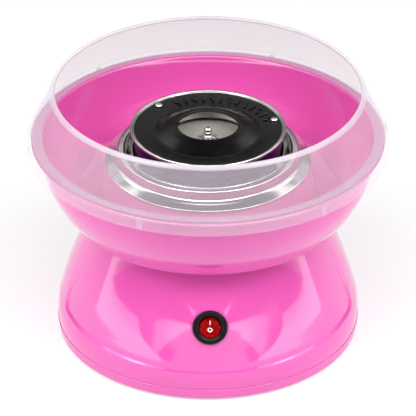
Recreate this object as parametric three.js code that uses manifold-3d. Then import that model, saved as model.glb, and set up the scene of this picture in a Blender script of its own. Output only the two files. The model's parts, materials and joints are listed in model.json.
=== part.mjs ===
// Table-top cotton candy machine: base with motor and furnace, spinning head, lift-off bowl, splash guard.
// Millimetres, +Z up. The origin is on the table, on the spin axis; -Y is the front, where the switch is.
import * as THREE from 'three';
import { mergeVertices } from 'three/addons/utils/BufferGeometryUtils.js';
import Module from 'manifold-3d';

// ---------------------------------------------------------------- driving dimensions
const GUARD_FOOT_R = 150.5;      // widest circle of the whole machine
const GUARD_LIP_R = 128.4;
const GUARD_TOP_Z = 225;
const GUARD_SHELF_Z = 181.6;     // underside of the shelf that rests on the bowl's rim
const GUARD_WALL = 2.2;
const CLIP_COUNT = 6;
const CLIP_FIRST_DEG = -22.3;    // azimuth of the first clip, counted from the front

const BOWL_RIM_R = 147.3;
const BOWL_RIM_Z = 181.2;
const BOWL_FLOOR_Z = 113;        // underside of the bowl
const BOWL_WALL = 2.6;
const RING_R = 75.8;             // steel heat ring on the bowl's collar
const RING_TOP_Z = 170;
const RING_BORE_R = 70.2;

const BASE_R = 127.4;
const DECK_Z = 112.5;            // top of the base, which carries the bowl
const DECK_R = 99;
const SHELL_WALL = 3;
const PARTING_Z = 11;            // joint between the bottom plate and the shell
const PLATE_BOTTOM_Z = 1.4;

const FURNACE_R = 69.5;
const FURNACE_FLOOR_Z = 150;
const HEAD_R = 65;               // rolled rim of the spinning disc
const HEAD_RIM_Z = 188.6;
const OPENING_R = 25;            // mouth that the sugar is poured into
const SHAFT_R = 3;

const MOTOR_R = 22;
const MOTOR_BOTTOM_Z = 44;
const MOTOR_TOP_Z = 96;

const SWITCH_Z = 65.3;
const SWITCH_STAND = 3;          // height of the switch's seat above the plain shell
const SWITCH_TILT_DEG = 15;      // the switch faces up by this much
const BEZEL_R = 14.6;
const BARREL_R = 10.8;
const ROCKER_R = 8.8;
const ROCKER_THROW_DEG = 18;
const GAP = 0.35;                // clearance between pieces that touch

const FINE = 32;                 // facets round the large rings
const MEDIUM = 20;
const SMALL = 12;

// ---------------------------------------------------------------- materials
const material = (color, roughness, metalness, opacity = 1) =>
  new THREE.MeshStandardMaterial({ color, roughness, metalness, opacity, transparent: opacity < 1 });

const PINK = material(0xef5fb2, 0.25, 0);
const MILKY = material(0xefe3ec, 0.2, 0, 0.4);
const STEEL = material(0xc9c7c4, 0.22, 1);
const ZINC = material(0xb9bcc0, 0.4, 1);
const BLACK = material(0x1b1a1b, 0.5, 0);
const RED = material(0xc80810, 0.2, 0);
const RUBBER = material(0x2b2b2b, 0.9, 0);
const CERAMIC = material(0xe8e2d2, 0.7, 0);
const COPPER = material(0xb8703a, 0.35, 1);
const BOARD = material(0x2d6b3c, 0.6, 0);
const HEATER = material(0x6e6a66, 0.5, 1);

// ---------------------------------------------------------------- helpers
const machine = new THREE.Group();
const radians = THREE.MathUtils.degToRad;

function add(name, geometry, mat, parent = machine) {
  const mesh = new THREE.Mesh(geometry, mat);
  mesh.name = name;
  parent.add(mesh);
  return mesh;
}

// A profile of [radius, height] pairs, anticlockwise, turned round the Z axis.
function turned(profile, segments) {
  const points = profile.map(([r, z]) => new THREE.Vector2(r, z));
  return new THREE.LatheGeometry(points, segments).rotateX(Math.PI / 2);
}

function ring(innerR, outerR, bottomZ, topZ, segments = MEDIUM) {
  const corners = [[innerR, bottomZ], [outerR, bottomZ], [outerR, topZ], [innerR, topZ]];
  return turned([...corners, corners[0]], segments);
}

function rod(r, bottomZ, topZ, segments = SMALL) {
  return turned([[0, bottomZ], [r, bottomZ], [r, topZ], [0, topZ]], segments);
}

function block(width, depth, height, x, y, z) {
  return new THREE.BoxGeometry(width, depth, height).translate(x, y, z);
}

// Points of an arc in a profile, from one angle to another, both in degrees.
function arc(r, z, radius, fromDeg, toDeg, steps) {
  return Array.from({ length: steps + 1 }, (_, i) => {
    const angle = radians(fromDeg + ((toDeg - fromDeg) * i) / steps);
    return [r + radius * Math.cos(angle), z + radius * Math.sin(angle)];
  });
}

// A place on a circle round the spin axis; azimuth is counted from the front, positive towards +X.
function onCircle(radius, azimuthDeg, z = 0) {
  const angle = radians(azimuthDeg);
  return new THREE.Vector3(radius * Math.sin(angle), -radius * Math.cos(angle), z);
}

// Several places on one circle, evenly spaced from the first azimuth.
function spaced(count, firstDeg, radius) {
  return Array.from({ length: count }, (_, i) => {
    const azimuth = firstDeg + (360 / count) * i;
    const { x, y } = onCircle(radius, azimuth);
    return { azimuth, x, y };
  });
}

function wire(points, radius = 1.1) {
  const section = new THREE.Shape().absarc(0, 0, radius, 0, 2 * Math.PI);
  const curve = new THREE.CatmullRomCurve3(points.map((p) => new THREE.Vector3(...p)));
  return new THREE.ExtrudeGeometry(section, {
    extrudePath: curve, steps: 14, curveSegments: 3, bevelEnabled: false,
  });
}

// ---------------------------------------------------------------- joining and cutting
const wasm = await Module();
wasm.setup();

function toSolid(geometry) {
  const bare = geometry.clone();
  bare.deleteAttribute('normal');
  bare.deleteAttribute('uv');
  const merged = mergeVertices(bare, 1e-4);
  return new wasm.Manifold(new wasm.Mesh({
    numProp: 3,
    vertProperties: new Float32Array(merged.attributes.position.array),
    triVerts: new Uint32Array(merged.index.array),
  }));
}

function toGeometry(solid) {
  const mesh = solid.getMesh();
  const geometry = new THREE.BufferGeometry();
  geometry.setAttribute('position', new THREE.BufferAttribute(mesh.vertProperties, 3));
  geometry.setIndex(new THREE.BufferAttribute(mesh.triVerts, 1));
  return geometry;
}

function cut(geometry, tools) {
  return toGeometry(tools.reduce((solid, tool) => solid.subtract(toSolid(tool)), toSolid(geometry)));
}

function join(geometry, others) {
  return toGeometry(others.reduce((solid, other) => solid.add(toSolid(other)), toSolid(geometry)));
}

function intersection(a, b) {
  return toGeometry(toSolid(a).intersect(toSolid(b)));
}

// ---------------------------------------------------------------- base shell
// The waisted body of the base, from the parting line up to the deck.
const BASE_OUTLINE = [
  [BASE_R, PARTING_Z + GAP], [BASE_R + 0.2, 20], [126.3, 30], [123.6, 40], [120.7, 50],
  [113.8, 70], [106.2, 90], [DECK_R + 0.6, 108],
];
const MOTOR_HOLE_R = 15;
const BORE_R = 3.4;              // holes for the grommets in the motor's bridge
const SCREW_BORE_R = 1.9;
const GLAND_Z = 34;
const GLAND_R = 6;
const BOSSES = spaced(4, 45, 108);
const BOSS_WEBS = spaced(4, 45, 117.4);
const MOTOR_SCREWS = spaced(3, 60, 34);

function baseRadius(z) {
  const i = Math.max(1, BASE_OUTLINE.findIndex(([, height]) => height >= z));
  const [r0, z0] = BASE_OUTLINE[i - 1];
  const [r1, z1] = BASE_OUTLINE[i];
  return r0 + ((r1 - r0) * (z - z0)) / (z1 - z0);
}

// The switch's own frame: +Z points out of the front panel, +Y up along it.
const switchFrame = new THREE.Group();
switchFrame.position.set(0, -baseRadius(SWITCH_Z), SWITCH_Z);
switchFrame.rotation.x = radians(90 - SWITCH_TILT_DEG);
switchFrame.translateZ(SWITCH_STAND);
machine.add(switchFrame);
switchFrame.updateMatrixWorld(true);

function baseShell() {
  const inner = BASE_OUTLINE.map(([r, z]) => [r - SHELL_WALL, z]).reverse();
  inner[0] = [DECK_R - SHELL_WALL - 1, DECK_Z - SHELL_WALL];
  const body = turned([
    ...BASE_OUTLINE, ...arc(DECK_R - 3, DECK_Z - 3, 3, 0, 90, 2),
    [MOTOR_HOLE_R, DECK_Z], [MOTOR_HOLE_R, DECK_Z - SHELL_WALL], ...inner, BASE_OUTLINE[0],
  ], FINE);
  const seatR = BEZEL_R + 1.4;
  const seat = rod(seatR, -6 - SWITCH_STAND, -GAP, MEDIUM).applyMatrix4(switchFrame.matrixWorld);
  const recess = rod(seatR, -GAP, 12, MEDIUM).applyMatrix4(switchFrame.matrixWorld);
  const hole = rod(BARREL_R + 0.4, -12, 12, MEDIUM).applyMatrix4(switchFrame.matrixWorld);
  const glandHole = rod(GLAND_R + GAP, -12, 8).rotateX(-Math.PI / 2);
  glandHole.translate(0, baseRadius(GLAND_Z), GLAND_Z);
  const bosses = BOSSES.map(({ x, y }) => cut(rod(5, 13, 36), [rod(1.6, 12, 34)]).translate(x, y, 0));
  const bossWebs = BOSS_WEBS.map(({ azimuth, x, y }) =>
    block(3, 14, 15, 0, 0, 22).rotateZ(radians(azimuth)).translate(x, y, 0));
  const motorScrewHoles = MOTOR_SCREWS.map(({ x, y }) =>
    rod(SCREW_BORE_R, DECK_Z - 6, DECK_Z - 1).translate(x, y, 0));
  return cut(join(body, [seat, ...bosses, ...bossWebs]), [recess, hole, glandHole, ...motorScrewHoles]);
}
add('base_shell', baseShell(), PINK);

// ---------------------------------------------------------------- bottom plate, feet and screws
const PLATE_TOP_Z = PARTING_Z - GAP;
const PLATE_FLOOR_Z = 4.2;
const LIP_R = BASE_R - SHELL_WALL;

function bottomPlate() {
  const plate = turned([
    [0, PLATE_BOTTOM_Z], [BASE_R - 2.5, PLATE_BOTTOM_Z],
    ...arc(BASE_R - 2, PLATE_BOTTOM_Z + 2, 2, -75, 0, 2),
    [BASE_R, PLATE_TOP_Z], [LIP_R, PLATE_TOP_Z], [LIP_R - 1, PLATE_FLOOR_Z], [0, PLATE_FLOOR_Z],
  ], FINE);
  const vents = [-2, -1, 0, 1, 2].map((i) => block(3, 44 - 6 * Math.abs(i), 12, 8 * i, 0, 3));
  const screwHoles = BOSSES.map(({ x, y }) => rod(2.2, 0, 6).translate(x, y, 0));
  return cut(plate, [...vents, ...screwHoles]);
}
add('bottom_plate', bottomPlate(), PINK);

// A shallow suction cup with a stem that plugs into the plate from below.
function foot() {
  return turned([
    [0, 0.6], [5, 0.4], [8, 0], [10.5, 0], [11, 0.5], [8, PLATE_BOTTOM_Z - GAP], [0, PLATE_BOTTOM_Z - GAP],
  ], SMALL);
}
spaced(4, 45, 92).forEach(({ x, y }, i) => {
  add(`foot_${i + 1}`, foot(), RUBBER).position.set(x, y, 0);
});
const bottomScrew = [[0, 4.6], [3.6, 4.6], [3.6, 6.4], [1.3, 6.4], [1.3, 22], [0, 22]];
BOSSES.forEach(({ x, y }, i) => {
  add(`bottom_screw_${i + 1}`, turned(bottomScrew, SMALL), ZINC).position.set(x, y, 0);
});

// ---------------------------------------------------------------- mains inlet gland at the back
function gland() {
  const collar = [[2.6, -9], [5.6, -9], [5.6, 1.2], [8.6, 1.2], [7.8, 3], [2.6, 3], [2.6, -9]];
  return turned(collar, SMALL).rotateX(-Math.PI / 2);
}
add('cord_gland', gland(), BLACK).position.set(0, baseRadius(GLAND_Z) + 0.6, GLAND_Z);

// ---------------------------------------------------------------- motor
const CAN_WALL = 1.6;
const CAN_BORE_R = MOTOR_R - CAN_WALL;
const BEARING_R = 6.7;
const END_CAP_Z = MOTOR_BOTTOM_Z - 6;
const RUNNING_R = SHAFT_R + 0.15;   // bore of the bearings
const PRESSED_R = SHAFT_R + 0.05;   // bore of what turns with the shaft
function motorCan() {
  const holeR = BEARING_R + 0.3;
  return turned([
    [MOTOR_R, MOTOR_BOTTOM_Z], [MOTOR_R, MOTOR_TOP_Z], [holeR, MOTOR_TOP_Z],
    [holeR, MOTOR_TOP_Z - CAN_WALL], [CAN_BORE_R, MOTOR_TOP_Z - CAN_WALL],
    [CAN_BORE_R, MOTOR_BOTTOM_Z], [MOTOR_R, MOTOR_BOTTOM_Z],
  ], FINE);
}
add('motor_can', motorCan(), ZINC);
add('motor_end_cap', ring(BEARING_R + 0.3, MOTOR_R, END_CAP_Z, MOTOR_BOTTOM_Z - GAP, FINE), BLACK);
add('upper_bearing', ring(RUNNING_R, BEARING_R, MOTOR_TOP_Z - 5, MOTOR_TOP_Z + 1, SMALL), COPPER);
add('lower_bearing', ring(RUNNING_R, BEARING_R, END_CAP_Z, MOTOR_BOTTOM_Z - 1, SMALL), COPPER);

const MAGNET_OUTER_R = CAN_BORE_R - GAP;
const MAGNET_WALL = 4;
const MAGNET_HALF_DEG = 65;
for (const [name, side] of [['magnet_left', 180], ['magnet_right', 0]]) {
  const shape = new THREE.Shape();
  const [from, to] = [radians(side - MAGNET_HALF_DEG), radians(side + MAGNET_HALF_DEG)];
  shape.absarc(0, 0, MAGNET_OUTER_R, from, to, false);
  shape.absarc(0, 0, MAGNET_OUTER_R - MAGNET_WALL, to, from, true);
  shape.closePath();
  const magnet = new THREE.ExtrudeGeometry(shape, { depth: 34, bevelEnabled: false, curveSegments: 10 });
  add(name, magnet.translate(0, 0, 54), BLACK);
}

// A folded steel bridge carries the motor below the deck, on three rubber grommets.
const BRIDGE_Z = MOTOR_TOP_Z + 1.4;
const BRIDGE_TOP_Z = BRIDGE_Z + 1.6;
function motorBridge() {
  const disc = ring(BEARING_R + 1.3, 40, BRIDGE_Z, BRIDGE_TOP_Z, MEDIUM);
  const holes = MOTOR_SCREWS.map(({ x, y }) => rod(BORE_R, BRIDGE_Z - 2, BRIDGE_Z + 4).translate(x, y, 0));
  return cut(disc, holes);
}
add('motor_bridge', motorBridge(), ZINC);

// The grommet's waist sits in the bridge; its upper end bears on the underside of the deck.
function motorGrommet() {
  const waistR = BORE_R - 0.4;
  const collarR = 5.4;
  const bottomZ = BRIDGE_Z - 3;
  const topZ = DECK_Z - SHELL_WALL - GAP;
  return turned([
    [SCREW_BORE_R, bottomZ], [collarR, bottomZ], [collarR, BRIDGE_Z - GAP], [waistR, BRIDGE_Z - GAP],
    [waistR, BRIDGE_TOP_Z + GAP], [collarR, BRIDGE_TOP_Z + GAP], [collarR, topZ], [SCREW_BORE_R, topZ],
    [SCREW_BORE_R, bottomZ],
  ], SMALL);
}

function motorScrew() {
  const shankR = SCREW_BORE_R - 0.4;
  const headR = 4;
  const seatZ = BRIDGE_Z - 3 - GAP;
  const endZ = DECK_Z - 1.4;
  return turned([
    [0, seatZ - 2], [headR, seatZ - 2], [headR, seatZ], [shankR, seatZ], [shankR, endZ], [0, endZ],
  ], SMALL);
}
MOTOR_SCREWS.forEach(({ x, y }, i) => {
  add(`motor_grommet_${i + 1}`, motorGrommet(), RUBBER).position.set(x, y, 0);
  add(`motor_screw_${i + 1}`, motorScrew(), ZINC).position.set(x, y, 0);
});

// ---------------------------------------------------------------- rotor
const SHAFT_BOTTOM_Z = MOTOR_BOTTOM_Z - 12;
const SHAFT_TOP_Z = 186;
const SHOULDER_Z = 172;          // above it the shaft is threaded for the hub nut
const THREAD_R = 2;
add('motor_shaft', turned([
  [0, SHAFT_BOTTOM_Z], [SHAFT_R, SHAFT_BOTTOM_Z], [SHAFT_R, SHOULDER_Z], [THREAD_R, SHOULDER_Z],
  [THREAD_R, SHAFT_TOP_Z], [0, SHAFT_TOP_Z],
], SMALL), STEEL);

const SLOT_COUNT = 7;
function armature() {
  const core = ring(PRESSED_R, MAGNET_OUTER_R - MAGNET_WALL - 1, 56, 86, 24);
  const slots = spaced(SLOT_COUNT, 180, 13.5).map(({ azimuth, x, y }) =>
    block(3.4, 4, 40, 0, 0, 71).rotateZ(radians(azimuth)).translate(x, y, 0));
  return cut(core, slots);
}
add('armature', armature(), COPPER);
add('commutator', ring(PRESSED_R, 7.5, 46, 54, SMALL), COPPER);

const BLADE_PITCH_DEG = 32;
// Fan on the lower shaft end, which draws air through the vents in the bottom plate.
function coolingFan() {
  const hub = ring(PRESSED_R, 7, 33, 37.4, SMALL);
  const plate = ring(PRESSED_R, 8, 30.5, 33.5, SMALL);
  const blades = spaced(7, 180, 14).map(({ azimuth, x, y }) => {
    const blade = block(1.4, 16, 9, 0, 0, 0).rotateY(radians(BLADE_PITCH_DEG));
    return blade.rotateZ(radians(azimuth)).translate(x, y, 32.1);
  });
  return join(hub, [plate, ...blades]);
}
add('cooling_fan', coolingFan(), BLACK);

// ---------------------------------------------------------------- furnace
const BARRIER_Z = DECK_Z + GAP;
const BARRIER_TOP_Z = BARRIER_Z + 2;
const SHAFT_HOLE_R = 12;         // through the heat barrier and the furnace's floor
add('heat_barrier', ring(SHAFT_HOLE_R, 52, BARRIER_Z, BARRIER_TOP_Z), CERAMIC);
spaced(3, 60, 40).forEach(({ x, y }, i) => {
  const pillar = rod(4.5, BARRIER_TOP_Z + GAP, FURNACE_FLOOR_Z - GAP);
  add(`furnace_pillar_${i + 1}`, pillar, STEEL).position.set(x, y, 0);
});

// The pan is a steel trough; its lip forms the funnel round the head.
const PAN_SHEET = 1.2;
const TROUGH_Z = FURNACE_FLOOR_Z + PAN_SHEET;
function furnacePan() {
  const funnelR = 63.5;
  const funnelZ = 160;
  return turned([
    [SHAFT_HOLE_R, FURNACE_FLOOR_Z], [FURNACE_R - 2, FURNACE_FLOOR_Z], [FURNACE_R, FURNACE_FLOOR_Z + 2],
    [FURNACE_R, RING_TOP_Z - 0.6], [FURNACE_R - 0.6, RING_TOP_Z],
    [funnelR, funnelZ], [funnelR, funnelZ - PAN_SHEET],
    [FURNACE_R - PAN_SHEET, 166.6], [FURNACE_R - PAN_SHEET, TROUGH_Z + PAN_SHEET],
    [FURNACE_R - 2 * PAN_SHEET, TROUGH_Z], [SHAFT_HOLE_R, TROUGH_Z], [SHAFT_HOLE_R, FURNACE_FLOOR_Z],
  ], FINE);
}
add('furnace_pan', furnacePan(), STEEL);

const HEATER_Z = 159;
const HEATER_CIRCLE_R = 47;
const HEATER_ROD_R = 3;
const heaterSection = arc(HEATER_CIRCLE_R, HEATER_Z, HEATER_ROD_R, 0, 360, 8);
heaterSection[heaterSection.length - 1] = heaterSection[0];
add('heating_element', turned(heaterSection, MEDIUM), HEATER);
spaced(3, 0, HEATER_CIRCLE_R).forEach(({ x, y }, i) => {
  const post = rod(4, TROUGH_Z + GAP, HEATER_Z - HEATER_ROD_R - GAP);
  add(`ceramic_post_${i + 1}`, post, CERAMIC).position.set(x, y, 0);
});

// ---------------------------------------------------------------- electrics in the base
const BOARD_Y = 30;
const BOARD_FACE_Y = BOARD_Y - 1 - GAP;
add('rectifier_board', block(34, 2, 26, 0, 0, 0), BOARD).position.set(-58, BOARD_Y, 30);
add('bridge_rectifier', block(14, 6, 12, 0, 0, 0), BLACK).position.set(-62, BOARD_FACE_Y - 3, 32);
add('smoothing_capacitor', rod(5, 0, 16).rotateX(Math.PI / 2), BLACK).position.set(-49, BOARD_FACE_Y, 30);
add('terminal_block', block(30, 12, 12, 0, 0, 0), CERAMIC).position.set(0, 84, 22);
add('thermal_fuse', rod(3, -9, 9).rotateY(Math.PI / 2), CERAMIC).position.set(30, 60, 105.5);

const CORD_ENTRY = baseRadius(GLAND_Z) - 9;
const leads = {
  mains_lead: [[0, CORD_ENTRY, GLAND_Z], [0, 108, 32], [0, 99, 24.5], [0, 91.8, 22.4]],
  switch_lead: [[16.6, 84, 24], [40, 70, 18], [70, 20, 16], [62, -50, 18], [18, -84, 38], [6, -90.5, 56.6]],
  motor_lead: [[-39.4, 30, 26], [-34, 27, 32], [-27.5, 18.5, 39], [-20.6, 12.4, 41]],
  heater_lead: [[16.6, 84, 19], [46, 76, 30], [58, 54, 66], [48, 59, 100], [41, 60, 105.5]],
};
add('mains_lead', wire(leads.mains_lead, 2.2), BLACK);
add('switch_lead', wire(leads.switch_lead), BLACK);
add('motor_lead', wire(leads.motor_lead), RUBBER);
add('heater_lead', wire(leads.heater_lead), CERAMIC);

// ---------------------------------------------------------------- switch
const PIVOT_DEPTH = -1;          // the rocker's pivot, below the bezel's seat
function switchBody() {
  const backZ = -19;
  const wellZ = -8;
  const wellR = ROCKER_R + 0.6;
  const bezelEdgeZ = 0.8;
  const bezelRound = 1.6;
  const bezelTopZ = bezelEdgeZ + bezelRound;
  const barrel = turned([
    [0, backZ], [BARREL_R, backZ], [BARREL_R, 0], [BEZEL_R, 0], [BEZEL_R, bezelEdgeZ],
    ...arc(BEZEL_R - bezelRound, bezelEdgeZ, bezelRound, 20, 90, 2),
    [wellR + 1, bezelTopZ - 0.5], [wellR, bezelTopZ - 1.4], [wellR, wellZ], [0, wellZ],
  ], FINE);
  const tabs = [-6, 0, 6].map((x) => block(0.8, 4.8, 9, x, 0, backZ - 3.5));
  return join(barrel, tabs);
}
add('switch_body', switchBody(), BLACK, switchFrame);

// A V-topped rocker; its sides follow an arc round the pivot so that it swings inside the bezel.
function rocker() {
  const reach = ROCKER_R;
  const bottom = -5.5;
  const valley = 2.2;
  const tip = valley + Math.tan(radians(ROCKER_THROW_DEG / 2)) * reach;
  const side = new THREE.Shape();
  side.moveTo(-reach + 2.2, bottom);
  side.lineTo(reach - 2.2, bottom);
  side.lineTo(reach, 0);
  side.lineTo(reach - 0.9, tip);
  side.lineTo(0, valley);
  side.lineTo(-reach + 0.9, tip);
  side.lineTo(-reach, 0);
  side.closePath();
  const slab = new THREE.ExtrudeGeometry(side, { depth: 2 * reach + 2, bevelEnabled: false });
  slab.translate(0, 0, -reach - 1).rotateX(Math.PI / 2).rotateZ(Math.PI / 2);
  return intersection(slab, rod(reach, bottom - 0.5, 6, FINE));
}
const rockerPivot = new THREE.Group();
rockerPivot.position.z = PIVOT_DEPTH;
rockerPivot.rotation.x = radians(ROCKER_THROW_DEG / 2);
switchFrame.add(rockerPivot);
add('switch_rocker', rocker(), RED, rockerPivot);

// ---------------------------------------------------------------- spinning head
const PAN_BOTTOM_Z = 166;
const PAN_TOP_Z = 181.6;         // the sugar mesh stands on the pan's wall
const PAN_FOOT_R = 63.4;         // the wall leans in from the foot to the mesh
const PAN_WALL_R = 59.8;
const HUB_Z = 176.4;             // top of the pan's hub, where the washer lies
const HUB_BORE_R = SHAFT_R + 0.3;
const COVER_R = 61.6;
const COVER_OUTER_Z = 186.9;     // top of the cover at its outer edge
const COVER_INNER_Z = 184.7;     // and at the foot of its mouth
const MOUTH_Z = 191.2;
const RIVET_CIRCLE_R = 57.5;
const RIVET_AZIMUTHS_DEG = [105, 225];   // counted from the front

function headPan() {
  return turned([
    [HUB_BORE_R, HUB_Z - 3.2], [10, HUB_Z - 3.2], [14, 170], [PAN_FOOT_R - 4, PAN_BOTTOM_Z],
    [PAN_FOOT_R, PAN_BOTTOM_Z + 3], [PAN_WALL_R, PAN_TOP_Z], [PAN_WALL_R - 1, PAN_TOP_Z],
    [PAN_FOOT_R - 1, PAN_BOTTOM_Z + 3.6], [PAN_FOOT_R - 4.4, PAN_BOTTOM_Z + 1.2],
    [37, 170.2], [36.5, 175.2], [8, HUB_Z], [HUB_BORE_R, HUB_Z], [HUB_BORE_R, HUB_Z - 3.2],
  ], FINE);
}
add('head_pan', headPan(), STEEL);
add('sugar_mesh', ring(PAN_WALL_R - 1.2, PAN_WALL_R, PAN_TOP_Z + GAP, 183.9, FINE), HEATER);

// The disc over the pan has a rolled rim and a funnel down to the pan.
function headDisc() {
  const rollR = 1.1;
  const roll = arc(HEAD_R - rollR, HEAD_RIM_Z - rollR, rollR, -60, 110, 5);
  return turned([
    [37.5, 176.2], [38.6, 175.8], [42, 180.8], [46, 182.4], [COVER_R, 184.6], [HEAD_R - 1.6, 185.6],
    ...roll, [62.4, 187.2], [61.8, 186], [46, 183.6], [41, 182], [37.5, 176.2],
  ], FINE);
}
add('head_disc', headDisc(), STEEL);

// The cover lies on the disc and rises in a cone to the mouth.
function headCover() {
  return turned([
    [OPENING_R + 1, 188.2], [36, 185.4], [41, 182 + GAP], [46.2, 183.6 + GAP], [COVER_R, 186 + GAP],
    [COVER_R, COVER_OUTER_Z], [44.5, COVER_INNER_Z], [33, 189.2], [OPENING_R + 2, MOUTH_Z],
    [OPENING_R + 0.4, MOUTH_Z - 0.4], [OPENING_R, MOUTH_Z - 1.8], [OPENING_R + 1, 188.2],
  ], FINE);
}
add('head_cover', headCover(), BLACK);
RIVET_AZIMUTHS_DEG.forEach((azimuth, i) => {
  const rivet = turned([[0, 0], [2.7, 0], [2.2, 0.9], [0, 1.3]], SMALL);
  const place = onCircle(RIVET_CIRCLE_R, azimuth, COVER_OUTER_Z + 0.1);
  add(`head_rivet_${i + 1}`, rivet, ZINC).position.copy(place);
});
const WASHER_TOP_Z = HUB_Z + 1.4;
add('hub_washer', ring(HUB_BORE_R, 9, HUB_Z + GAP, WASHER_TOP_Z, SMALL), STEEL);

// An acorn nut closes the shaft's threaded end.
function hubNut() {
  const domeR = 3.2;
  const domeZ = 185.3;
  const boreR = THREAD_R + GAP;
  const bottomZ = WASHER_TOP_Z + GAP;
  return turned([
    [boreR, bottomZ], [5, bottomZ], [5, 181.8], ...arc(0, domeZ, domeR, -20, 90, 4),
    [0, SHAFT_TOP_Z + GAP], [boreR, SHAFT_TOP_Z + GAP], [boreR, bottomZ],
  ], SMALL);
}
add('hub_nut', hubNut(), STEEL);

// ---------------------------------------------------------------- bowl
const COLLAR_R = 79;             // bore of the collar, which clears the furnace
const COLLAR_TOP_Z = 156;
function bowl() {
  const outer = [
    [112, BOWL_FLOOR_Z + 0.2], [114.4, BOWL_FLOOR_Z + 2], [120.6, 122], [126.3, 130], [131.7, 140],
    [135.8, 150], [138.4, 161], [139.6, 172], [140, 177.6],
  ];
  const rim = [
    [BOWL_RIM_R, 178.8], [BOWL_RIM_R, BOWL_RIM_Z - 0.8], [BOWL_RIM_R - 0.8, BOWL_RIM_Z], [137.4, BOWL_RIM_Z],
  ];
  const inner = [
    [137, 172], [135.8, 161], [133.2, 150.6], [129.2, 141], [123.8, 131.4], [118.2, 123.6], [112, 117],
    [98, BOWL_FLOOR_Z + BOWL_WALL],
  ];
  const collar = [
    [92.6, 118], [84.8, COLLAR_TOP_Z], [COLLAR_R, COLLAR_TOP_Z], [COLLAR_R, COLLAR_TOP_Z - 2.4],
    [COLLAR_R + 3, COLLAR_TOP_Z - 3], [89.6, BOWL_FLOOR_Z],
  ];
  return turned([...outer, ...rim, ...inner, ...collar, outer[0]], FINE);
}
add('bowl', bowl(), PINK);

// Steel ring on the bowl's collar: a sloping flange, a short wall and a flat top round the furnace.
function heatRing() {
  const flangeR = 86;
  const sheet = 1.2;
  const lipZ = 165.6;            // lower end of the inner lip
  return turned([
    [77, 159.8], [79.4, 157.8], [flangeR, 156.3], [flangeR + 0.3, 157.4], [RING_R + 1.2, 160.4],
    [RING_R, 161.4], [RING_R, RING_TOP_Z - 1], [RING_R - 1, RING_TOP_Z], [RING_BORE_R + 0.6, RING_TOP_Z],
    [RING_BORE_R, RING_TOP_Z - 0.6], [RING_BORE_R, lipZ], [RING_BORE_R + 0.9, lipZ],
    [RING_BORE_R + 0.9, RING_TOP_Z - sheet], [RING_R - sheet, RING_TOP_Z - sheet], [RING_R - 1, 160.6],
    [77, 159.8],
  ], FINE);
}
add('heat_ring', heatRing(), STEEL);

// ---------------------------------------------------------------- splash guard
const SHELF_INNER_R = 138.4;
const SKIRT_BOTTOM_Z = 172;
function splashGuard() {
  const wall = [[149.4, 184], [146.7, 190], [140.7, 203], [135.2, 215], [132.4, 220], [130.2, 223.4]];
  const wallInside = wall.map(([r, z]) => [r - GUARD_WALL, z - 0.4]).reverse();
  const skirtInnerR = GUARD_FOOT_R - GUARD_WALL;
  const body = turned([
    [GUARD_FOOT_R, SKIRT_BOTTOM_Z], [GUARD_FOOT_R, 181], [GUARD_FOOT_R - 0.4, 182.4], ...wall,
    [GUARD_LIP_R, GUARD_TOP_Z], [GUARD_LIP_R - 1.4, GUARD_TOP_Z], [GUARD_LIP_R - 2, GUARD_TOP_Z - 1],
    ...wallInside,
    [SHELF_INNER_R, GUARD_SHELF_Z + GUARD_WALL], [SHELF_INNER_R, GUARD_SHELF_Z],
    [skirtInnerR, GUARD_SHELF_Z], [skirtInnerR, SKIRT_BOTTOM_Z], [GUARD_FOOT_R, SKIRT_BOTTOM_Z],
  ], FINE);
  const clips = spaced(CLIP_COUNT, CLIP_FIRST_DEG, GUARD_FOOT_R - 0.9).map(({ azimuth, x, y }) =>
    block(5, 3, 10.6, 0, 0, 177.6).rotateZ(radians(azimuth)).translate(x, y, 0));
  return join(body, clips);
}
add('splash_guard', splashGuard(), MILKY);

export default machine;
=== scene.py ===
import json
import math

import bmesh
import bpy
from mathutils import Euler, Matrix, Vector

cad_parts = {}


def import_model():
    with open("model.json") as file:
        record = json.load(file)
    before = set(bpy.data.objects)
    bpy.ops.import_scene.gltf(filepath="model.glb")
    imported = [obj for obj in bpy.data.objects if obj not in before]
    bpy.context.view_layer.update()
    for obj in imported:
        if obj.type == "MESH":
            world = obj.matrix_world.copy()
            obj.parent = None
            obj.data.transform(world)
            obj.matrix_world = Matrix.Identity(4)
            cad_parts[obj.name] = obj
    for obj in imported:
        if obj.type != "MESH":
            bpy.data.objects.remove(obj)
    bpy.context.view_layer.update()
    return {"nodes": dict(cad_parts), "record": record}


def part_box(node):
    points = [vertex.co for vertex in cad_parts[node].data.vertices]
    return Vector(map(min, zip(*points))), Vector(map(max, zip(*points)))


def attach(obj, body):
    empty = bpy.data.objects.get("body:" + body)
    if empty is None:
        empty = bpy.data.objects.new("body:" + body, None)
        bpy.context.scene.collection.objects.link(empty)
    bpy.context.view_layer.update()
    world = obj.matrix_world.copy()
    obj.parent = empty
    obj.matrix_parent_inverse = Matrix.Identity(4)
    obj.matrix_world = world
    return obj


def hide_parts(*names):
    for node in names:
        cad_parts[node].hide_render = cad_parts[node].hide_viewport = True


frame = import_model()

MM = 0.001

# -------------------- driving sizes, from the frame
FINE = 192                       # facets round the large rings
MEDIUM = 96
SMALL = 40
SHARP = 34                       # degrees; faces that meet at more show an edge
SOFT_SHARP = 40                  # the same, for gently curved faces
CORNER_STEPS = 3                 # facets of a rounded corner in a profile
CORNER_TURN = 24                 # degrees; a profile that turns by less counts as smooth


def low(node_name, axis):
    """Lowest place of a CAD node along an axis, in millimetres."""
    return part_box(node_name)[0][axis] / MM


def high(node_name, axis):
    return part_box(node_name)[1][axis] / MM


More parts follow.
